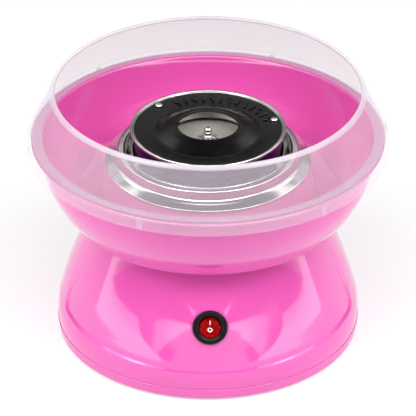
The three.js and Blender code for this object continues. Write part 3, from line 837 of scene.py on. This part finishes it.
def switch_rocker():
    """A disc of rings from the centre to the edge, then its side and a flat underside."""
    rings, count = 16, 64
    circle = [(math.cos(2 * math.pi * k / count), math.sin(2 * math.pi * k / count)) for k in range(count)]
    vertices = [(0, 0, rocker_height(0, 0))]
    for i in range(1, rings + 1):
        radius = ROCKER_EDGE_R * i / rings
        vertices += [(radius * x, radius * y, rocker_height(radius * x, radius * y)) for x, y in circle]
    for z, shrink in ((0.2, 1.0), (-2.5, 0.94), (-5.5, 0.76)):
        vertices += [(ROCKER_EDGE_R * x, ROCKER_EDGE_R * y * shrink, z) for x, y in circle]
    faces = [[0, 1 + k, 1 + (k + 1) % count] for k in range(count)]
    for i in range(rings + 2):
        inner, outer = 1 + i * count, 1 + (i + 1) * count
        for k in range(count):
            n = (k + 1) % count
            faces.append([inner + k, outer + k, outer + n, inner + n])
    last = 1 + (rings + 2) * count
    faces.append([last + k for k in range(count)][::-1])
    rocker = new_object("switch_rocker_fine", vertices, faces, MATERIALS["red_lens"], SOFT_SHARP)
    stands_for(to_frame(rocker, ROCKER_FRAME), "rocker", "switch_rocker")


def raised_mark(name, outline, inner=None):
    """A printed mark on the rocker: a thin slab that follows its top, with a hole if inner is given."""
    loops = [outline] if inner is None else [outline, inner]
    count = len(outline)
    vertices = [(x, y, rocker_height(x, y) + lift)
                for lift in (-0.2, 0.08) for loop in loops for x, y in loop]
    faces = prism_faces(count) if inner is None else []
    if inner is not None:
        for i in range(count):
            n = (i + 1) % count
            faces.append([count + i, count + n, n, i])
            faces.append([2 * count + i, 2 * count + n, 3 * count + n, 3 * count + i])
            faces.append([i, n, 2 * count + n, 2 * count + i])
            faces.append([count + n, count + i, 3 * count + i, 3 * count + n])
    mark = to_frame(new_object(name, vertices, faces, PRINT, SOFT_SHARP), ROCKER_FRAME)
    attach(mark, "rocker")


def switch_marks():
    """The usual I and O of a mains switch."""
    width, bottom, top = 0.42, 3.6, 7.6
    raised_mark("mark_on", [(-width, bottom), (width, bottom), (width, top), (-width, top)])
    centre_y = -1.3
    outer, inner = ([(r * math.cos(a), centre_y + r * math.sin(a))
                     for a in (math.radians(10 * i) for i in range(36))] for r in (2.0, 1.15))
    raised_mark("mark_off", outer, inner)


# -------------------- furnace
ELEMENT_R = 47.0
ELEMENT_Z = 159.0


def furnace():
    """Steel pan with a rolled top edge and an inner lip that turns back down."""
    floor_z, wall_r = FURNACE_FLOOR_Z, FURNACE_R
    turned_piece("furnace_pan", rounded([
        (12, floor_z), (wall_r - 2.5, floor_z), *arc(wall_r - 2, floor_z + 2, 2, -70, 0, 4),
        (wall_r, RING_TOP_Z - 0.5), *arc(wall_r - 0.5, RING_TOP_Z - 0.4, 0.4, 0, 140, 4),
        (66.6, 164.6), (63.6, 160), (62.9, 159.3), (62.9, 158.6), (63.8, 158.9), (wall_r - 1.4, 166.4),
        (wall_r - 1.2, floor_z + 3), (wall_r - 2.6, floor_z + 1.2), (12, floor_z + 1.2),
    ], 0.3), "base", "polished_steel")


def heating_element():
    """A wound resistance wire that lies on the ceramic posts as one ring."""
    coil_r, wire_r = 2.3, 0.55
    turns, per_turn = 96, 12
    points = []
    for i in range(turns * per_turn):
        around = 2 * math.pi * i / (turns * per_turn)
        winding = 2 * math.pi * i / per_turn
        r = ELEMENT_R + coil_r * math.cos(winding)
        points.append((r * math.cos(around), r * math.sin(around), ELEMENT_Z + coil_r * math.sin(winding)))
    coil = tube("heating_coil", points, wire_r, MATERIALS["heater_alloy"], 8, closed=True)
    stands_for(coil, "base", "heating_element")


def spool(name, slot, waist_r, foot, head):
    """A small upright spool where a CAD node stands; foot and head are (radius, thickness)."""
    foot_z, top_z = low(name, 2), high(name, 2)
    lowest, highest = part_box(name)
    centre = (lowest + highest) / 2 / MM
    profile = rounded([
        (0, foot_z), (foot[0], foot_z), (foot[0], foot_z + foot[1]), (waist_r, foot_z + foot[1] + 0.4),
        (waist_r, top_z - head[1] - 0.4), (head[0], top_z - head[1]), (head[0], top_z), (0, top_z),
    ], 0.3)
    turned_piece(name, profile, "base", slot, SMALL, (centre.x, centre.y, 0))


def furnace_supports():
    """Three posts that carry the wire, and the three pillars under the furnace."""
    for i in (1, 2, 3):
        spool(f"ceramic_post_{i}", "ceramic", 3.2, (4.6, 1.0), (4.0, 0.9))
    for i in (1, 2, 3):
        spool(f"furnace_pillar_{i}", "satin_steel", 4.2, (6.0, 1.2), (5.2, 1.2))


def heat_barrier():
    outer, bottom, top = high("heat_barrier", 0), low("heat_barrier", 2), high("heat_barrier", 2)
    profile = rounded([(12, bottom), (outer, bottom), (outer, top), (12, top)], 0.3)
    turned_piece("heat_barrier", profile, "base", "ceramic", MEDIUM)


# -------------------- spinning head
RIVET_CIRCLE_R = 57.5
RIVET_AZIMUTHS = (105.0, 225.0)
PAN_FLOOR_Z = 167.2              # inside of the pan, next to its wall
MESH_WIRES = 180
COVER_RIM_R = COVER_R - 0.2
COVER_OUTER_Z = 186.9            # top of the cover's flat ring, at its rim and at the cone
COVER_INNER_Z = 184.7
CONE_FOOT_R = 44.5
MOUTH_R = 25.0


def head_pan():
    """Deep cup with a raised, flat middle for the hub and a wall that leans in towards the mesh."""
    turned_piece("head_pan", rounded([
        (3.4, 173.2), (10, 173.2), (14, 170), (PAN_FOOT_R - 4, PAN_BOTTOM_Z),
        (PAN_FOOT_R - 1, PAN_BOTTOM_Z + 1), (PAN_FOOT_R, PAN_BOTTOM_Z + 3), (PAN_WALL_R, PAN_TOP_Z),
        (PAN_WALL_R - 1, PAN_TOP_Z), (PAN_FOOT_R - 1, PAN_FLOOR_Z + 2.4),
        (PAN_FOOT_R - 2, PAN_FLOOR_Z + 0.6), (PAN_FOOT_R - 4.4, PAN_FLOOR_Z), (38.5, 169.9), (37.2, 170.4),
        (36.6, 175.0), (35.6, 175.5), (18, 176.0), (10.5, 176.2), (9.6, 176.8), (3.4, 176.8),
    ], 0.5), "head", "satin_steel")


def sugar_mesh():
    """The fine wire screen that the sugar is thrown through: two bands joined by upright wires."""
    alloy = MATERIALS["heater_alloy"]
    bottom, top, outer = low("sugar_mesh", 2), high("sugar_mesh", 2), high("sugar_mesh", 0)
    band = 0.35
    parts = []
    for z in (bottom, top - band):
        profile = [(outer - 0.7, z), (outer, z), (outer, z + band), (outer - 0.7, z + band)]
        parts.append(turned("band", profile, alloy))
    wire = box_mesh((outer - 0.5, -0.22, bottom + 0.1), (outer - 0.15, 0.22, top - 0.1))
    for k in range(MESH_WIRES):
        turn = Matrix.Rotation(math.radians(360 / MESH_WIRES * k), 3, "Z")
        parts.append(place(new_object("wire", *wire, alloy), (0, 0, 0), turn))
    stands_for(joined("sugar_mesh_fine", parts), "head", "sugar_mesh")


def head_disc():
    """Spun disc with a rolled rim that shows as a double line."""
    roll = 1.2
    turned_piece("head_disc", rounded([
        (37.5, 176.2), (38.6, 175.8), (42, 180.8), (46, 182.4), (COVER_R, 184.4), (HEAD_R - 2.2, 184.9),
        (HEAD_R - 1.6, 185.6), *arc(HEAD_R - roll, HEAD_RIM_Z - roll, roll, -70, 150, 14),
        (HEAD_R - 2.5, 187.0), *arc(HEAD_R - 2.9, 187.2, 0.45, 10, 170, 6), (61.9, 186.4), (61.6, 185.7),
        (46, 183.5), (41, 181.8), (38.4, 176.4),
    ], 0.4), "head", "polished_steel")


def cover_height(r):
    """Top of the cover's flat ring at a radius."""
    return COVER_INNER_Z + (COVER_OUTER_Z - COVER_INNER_Z) * (r - CONE_FOOT_R) / (COVER_RIM_R - CONE_FOOT_R)


def head_cover():
    """Flat ring that rises into a cone, with a rounded mouth in the middle."""
    ring_end = CONE_FOOT_R + 1.5
    cone = curve_through([
        (ring_end, cover_height(ring_end)), (CONE_FOOT_R - 1.0, COVER_INNER_Z + 0.25), (39, 187.0),
        (33, 189.6), (28.5, MOUTH_Z - 0.25), (26.6, MOUTH_Z), (25.4, MOUTH_Z - 0.5),
        (MOUTH_R, MOUTH_Z - 1.6),
    ], 5)
    profile = rounded([(26.4, 187.9), (36, 185.2), (41, 182.4), (46.2, 184.0), (COVER_RIM_R, 186.35),
                       (COVER_RIM_R, COVER_OUTER_Z), *cone, (25.4, 188.4)], 0.35)
    turned_piece("head_cover", profile, "head", "black_bakelite")


def cover_marks():
    """Plain raised bars and waves on the rear of the cover, where such heads carry a moulded notice."""
    first, last, count = 118.0, 20.0, 13
    centre_r, length, wave_height = 53.0, 7.4, 1.5
    parts = []
    for i in range(count):
        azimuth = first + (last - first) * i / (count - 1)
        swing = wave_height if i % 2 == 0 else 0.0
        points = []
        for k in range(13):
            t = k / 12 - 0.5
            angle = math.radians(azimuth) + swing * math.sin(2 * math.pi * t) / centre_r
            r = centre_r + length * t
            points.append((r * math.cos(angle), r * math.sin(angle), cover_height(r) + 0.55))
        parts.append(tube("mark", points, 0.95, MATERIALS["black_bakelite"], 12))
    marks = joined("cover_marks", parts)
    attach(marks, "head")


def head_rivets():
    """Domed heads on a short shank."""
    for i, azimuth in enumerate(RIVET_AZIMUTHS):
        name = f"head_rivet_{i + 1}"
        z = low(name, 2)
        profile = rounded([(0, z - 0.3), (1.4, z - 0.3), (1.4, z), (2.9, z), (2.85, z + 0.5),
                           (2.2, z + 1.1), (1.2, z + 1.35), (0, z + 1.4)], 0.3)
        turned_piece(name, profile, "head", "zinc_steel", SMALL, on_circle(RIVET_CIRCLE_R, azimuth))


def lock_washer():
    """A flat ring with twisted teeth round it."""
    steel = MATERIALS["polished_steel"]
    z = low("hub_washer", 2) + 0.25
    ring = rounded([(3.4, z), (6.6, z), (6.6, z + 0.8), (3.4, z + 0.8)], 0.2)
    parts = [turned("ring", ring, steel, MEDIUM)]
    for k in range(12):
        tooth = new_object("tooth", *box_mesh((6.0, -0.7, 0), (8.8, 0.7, 0.7)), steel)
        tilt = Matrix.Rotation(math.radians(30 * k), 3, "Z") @ Matrix.Rotation(math.radians(14), 3, "X")
        parts.append(place(tooth, (0, 0, z), tilt))
    stands_for(joined("hub_washer_fine", parts), "head", "hub_washer")


def acorn_nut():
    """A hexagon with a domed cap on the shaft's end."""
    steel = MATERIALS["polished_steel"]
    z, top = low("hub_nut", 2), high("hub_nut", 2)
    hexagon = rounded([(2.3, z), (5.4, z), (5.7, z + 0.5), (5.7, z + 3.2), (5.1, z + 3.8),
                       (2.3, z + 3.8)], 0.2)
    dome = rounded([(2.3, z + 3.4), (3.6, z + 3.4), (3.0, z + 4.6), *arc(0, top - 3.3, 3.3, -28, 90, 12),
                    (0, top - 1.0), (2.3, top - 1.8)], 0.2)
    parts = [turned("hexagon", hexagon, steel, 6, 20), turned("dome", dome, steel, SMALL)]
    stands_for(joined("hub_nut_fine", parts), "head", "hub_nut")


# -------------------- bowl
BOWL_OUTSIDE = [(112.6, BOWL_FLOOR_Z + 0.4), (114.6, BOWL_FLOOR_Z + 2), (120.6, 122), (126.3, 130),
                (131.7, 140), (135.8, 150), (138.4, 161), (139.6, 172), (140, 177.4)]
BOWL_INSIDE = [(137, 172), (135.8, 161), (133.2, 150.6), (129.2, 141), (123.8, 131.4), (118.2, 123.6),
               (112, 117.6), (105, 115.9), (99, BOWL_FLOOR_Z + 2.6)]
COLLAR_R = 79.0                  # bore of the collar, which clears the furnace
COLLAR_TOP_Z = 156.0
RING_R = 75.8                    # outside of the heat ring's wall
RING_BORE_R = 70.4


def bowl():
    """Round bowl with a flat rim outside and a tapered collar in the middle of its floor."""
    rim = [(141.0, 178.4), (BOWL_RIM_R - 0.9, 178.8), (BOWL_RIM_R, 179.4), (BOWL_RIM_R, BOWL_RIM_Z - 0.8),
           (BOWL_RIM_R - 0.8, BOWL_RIM_Z), (137.9, BOWL_RIM_Z), (137.3, BOWL_RIM_Z - 0.8)]
    collar = [(95.5, 115.7), (93.4, 117.2), (92.4, 120), (84.8, COLLAR_TOP_Z - 1.2), (83.6, COLLAR_TOP_Z),
              (COLLAR_R, COLLAR_TOP_Z), (COLLAR_R, COLLAR_TOP_Z - 2.4), (82, COLLAR_TOP_Z - 3),
              (89.6, BOWL_FLOOR_Z)]
    profile = rounded([*curve_through(BOWL_OUTSIDE, 5), *rim, *curve_through(BOWL_INSIDE, 5), *collar], 0.6)
    turned_piece("bowl", profile, "bowl", "pink_plastic")


def heat_ring():
    """Spun steel ring: curled edge, sloping flange, upright wall, flat top with a rolled inner edge."""
    top = RING_TOP_Z
    turned_piece("heat_ring", rounded([
        (77, 159.2), (80, 157.6), (85, 156.2), *arc(FLANGE_R - 0.7, RING_FOOT_Z + 0.9, 0.8, -100, 80, 8),
        (84.6, 158.4), (79.4, 160.1), (77.0, 160.9), (75.9, 161.9), (RING_R, top - 1.6),
        *arc(RING_R - 1.3, top - 1.3, 1.3, 0, 90, 6), (71.6, top), *arc(71.0, top - 0.6, 0.6, 80, 200, 5),
        (RING_BORE_R, 165.6), (RING_BORE_R + 0.8, 165.6), (RING_BORE_R + 0.8, top - 1.2), (74.4, top - 1.3),
        (74.8, 161.2), (76, 159.9),
    ], 0.3), "bowl", "polished_steel")


# -------------------- splash guard
GUARD_LIP_R = 128.6
LIP_ROLL_R = 1.5
GUARD_PROFILE = [(149.4, 184.0), (146.7, 190.0), (143.6, 197.0), (140.7, 203.0), (137.9, 209.0),
                 (135.2, 215.0), (132.6, 220.0), (130.6, 223.0)]
GUARD_WALL = 2.2
SHELF_R = 138.4                  # inner edge of the shelf that rests on the bowl's rim
CLIP_COUNT = 6
CLIP_FIRST = -22.3
CLIP_WIDTH = 5.0
CLIP_PROUD = 0.5


def splash_guard():
    """Leaning wall with a rolled lip, a shelf on the bowl's rim and a short skirt round it."""
    foot_r, shelf_z = GUARD_FOOT_R, BOWL_RIM_Z + 0.4
    outside = [(foot_r, SKIRT_BOTTOM_Z), (foot_r, 180.6), *arc(foot_r - 0.8, 181.2, 0.8, 10, 70, 3),
               (foot_r - 1.0, 182.4), *curve_through(GUARD_PROFILE, 4)]
    lip = arc(GUARD_LIP_R - 0.4, GUARD_TOP_Z - LIP_ROLL_R, LIP_ROLL_R, 30, 215, 12)
    inner_wall = [(r - GUARD_WALL, z - 0.5) for r, z in GUARD_PROFILE]
    inside = [*curve_through(inner_wall[::-1], 4), (145.4, 183.6), (SHELF_R + 0.2, 183.5), (SHELF_R, 183.1),
              (SHELF_R, shelf_z), (foot_r - GUARD_WALL, shelf_z), (foot_r - GUARD_WALL, SKIRT_BOTTOM_Z)]
    turned_piece("splash_guard", rounded([*outside, *lip, *inside], 0.4), "guard", "milky_plastic")


def clip_mesh():
    """A small tab on the outside of the skirt, at the front."""
    outer_y, inner_y = -GUARD_FOOT_R - CLIP_PROUD, -GUARD_FOOT_R - 0.04
    bottom, top = SKIRT_BOTTOM_Z + 0.4, 181.0
    side = [(outer_y + 0.3, bottom), (inner_y, bottom), (inner_y, top), (outer_y + 0.3, top),
            (outer_y, top - 0.6), (outer_y, bottom + 0.6)]
    vertices = [(x, y, z) for x in (-CLIP_WIDTH / 2, CLIP_WIDTH / 2) for y, z in side]
    return vertices, prism_faces(len(side))


def guard_clips():
    for i in range(CLIP_COUNT):
        azimuth = CLIP_FIRST + 360 / CLIP_COUNT * i
        clip = new_object(f"guard_clip_{i + 1}", *clip_mesh(), MATERIALS["milky_plastic"])
        place(clip, (0, 0, 0), Matrix.Rotation(math.radians(azimuth), 3, "Z"))
        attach(clip, "guard")


# -------------------- studio
CAMERA_LENS = 346.0              # on a 36 mm sensor
CAMERA_DISTANCE = 3.363
CAMERA_AZIMUTH = -0.8
CAMERA_ELEVATION = 30.42
CAMERA_AIM = Vector((0.0, 0.0, 0.1104))
LIGHT_AIM = Vector((0.0, 0.0, 0.1))
FLOOR_HALF = 6000.0


def stand_back(obj, aim, azimuth, elevation, distance):
    """Puts a camera or light at a distance from a point of the machine, and turns it that way."""
    lift = math.radians(elevation)
    back = on_circle(math.cos(lift), azimuth, math.sin(lift))
    obj.location = aim + back * distance
    obj.rotation_euler = (-back).to_track_quat("-Z", "Y").to_euler()


def camera():
    data = bpy.data.cameras.new("camera")
    data.lens = CAMERA_LENS
    data.sensor_width = 36.0
    data.clip_end = 50.0
    cam = in_scene("camera", data)
    stand_back(cam, CAMERA_AIM, CAMERA_AZIMUTH, CAMERA_ELEVATION, CAMERA_DISTANCE)
    bpy.context.scene.camera = cam


def softbox(name, azimuth, elevation, width, height, radiance, distance=1.6):
    """A rectangular light of the given angular size in degrees, seen from the machine."""
    data = bpy.data.lights.new(name, "AREA")
    data.shape = "RECTANGLE"
    data.size = 2 * distance * math.tan(math.radians(width) / 2)
    data.size_y = 2 * distance * math.tan(math.radians(height) / 2)
    data.energy = radiance * math.pi * data.size * data.size_y
    lamp = in_scene(name, data)
    lamp.visible_camera = False
    stand_back(lamp, LIGHT_AIM, azimuth, elevation, distance)


def lights():
    """Pairs of boxes low in front, at the sides and behind; a strong one above, a weak one at the rear."""
    for side, name in ((-1, "left"), (1, "right")):
        softbox(f"low_{name}", side * 61, -7.8, 54, 9.9, 2.1, 0.45)
        softbox(f"side_{name}", side * 58, 36, 46, 34, 2.8)
        softbox(f"rear_{name}", side * 115, 42, 44, 28, 1.5)
    softbox("top_front", 0, 62, 90, 24, 5.9)
    softbox("back", 180, 38, 64, 16, 0.55)


def world():
    """Dim surroundings under a dark ceiling give the light; the backdrop itself is pale."""
    made = bpy.data.worlds.new("studio")
    made.use_nodes = True
    dim = made.node_tree.nodes["Background"]
    direction = node(made, "ShaderNodeTexCoord")
    split = node(made, "ShaderNodeSeparateXYZ")
    link(made, direction.outputs["Generated"], split.inputs[0])
    link(made, remapped(made, split.outputs["Z"], 0.25, 0.02, 0.3, 0.85), dim.inputs["Strength"])
    pale = node(made, "ShaderNodeBackground", Color=(0.93, 0.93, 0.93, 1.0))
    seen = node(made, "ShaderNodeLightPath")
    mix = node(made, "ShaderNodeMixShader")
    link(made, seen.outputs["Is Camera Ray"], mix.inputs[0])
    link(made, dim.outputs[0], mix.inputs[1])
    link(made, pale.outputs[0], mix.inputs[2])
    link(made, mix.outputs[0], made.node_tree.nodes["World Output"].inputs["Surface"])
    bpy.context.scene.world = made
    bpy.context.scene.view_settings.view_transform = "Standard"


def floor():
    """Pale and a little luminous, more so from one to three metres out, where the lights fall off."""
    material = new_material("floor", (0.5, 0.5, 0.5), 0.6, Specular_IOR_Level=0.2)
    shader = shader_of(material)
    shader.inputs["Emission Color"].default_value = (1.0, 1.0, 1.0, 1.0)
    glow = remapped(material, axis_distance(material), 0.458, 0.9, 1.0, 3.0)
    link(material, glow, shader.inputs["Emission Strength"])
    near, far = -FLOOR_HALF, FLOOR_HALF
    corners = [(near, near, 0), (far, near, 0), (far, far, 0), (near, far, 0)]
    new_object("floor", corners, [[0, 1, 2, 3]], material)


for build in (
    camera, world, lights, floor, dress_cad_nodes, base_shell, bottom_plate, feet, cord_gland, switch_body,
    switch_rocker, switch_marks, furnace, heating_element, furnace_supports, heat_barrier, head_pan,
    sugar_mesh, head_disc, head_cover, cover_marks, head_rivets, lock_washer, acorn_nut, bowl, heat_ring,
    splash_guard, guard_clips,
):
    build()
